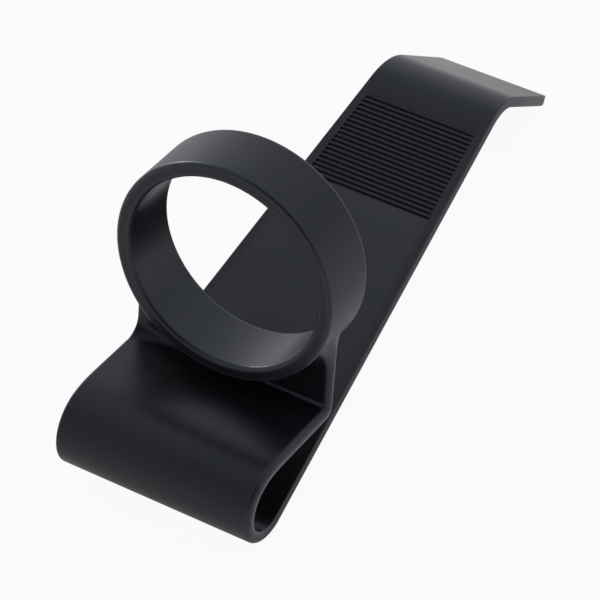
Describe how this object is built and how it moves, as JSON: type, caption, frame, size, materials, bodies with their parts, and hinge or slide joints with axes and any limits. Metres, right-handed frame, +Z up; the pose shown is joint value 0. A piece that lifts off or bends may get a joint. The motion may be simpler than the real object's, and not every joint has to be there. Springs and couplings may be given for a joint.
{
  "type": "pick holder",
  "caption": "Round ring on a one-piece plastic spring clip with a tapered leg, grooved thumb grip and turned-down lip.",
  "frame": {"origin": "on the table under the middle of the part", "axes": "+X across the clip, +Y from the spring bend to the lip, +Z up"},
  "size_m": [0.0288, 0.0832, 0.039],
  "materials": {
    "black_plastic": "fine matt moulded black plastic"
  },
  "bodies": {
    "back": {"back_leg": "black_plastic", "end_lip": "black_plastic", "spring_bend": "black_plastic"},
    "front": {"front_leg": "black_plastic", "ring_riser": "black_plastic", "holder_ring": "black_plastic"}
  },
  "joints": [
    {"name": "clip_spring", "type": "hinge", "parent": "back", "child": "front", "pos_m": [0, -0.03606, 0.0055], "axis": [1, 0, 0], "range_deg": [-10, 15], "stiffness_Nm_per_rad": 0.9, "deforming": ["spring_bend"]}
  ]
}
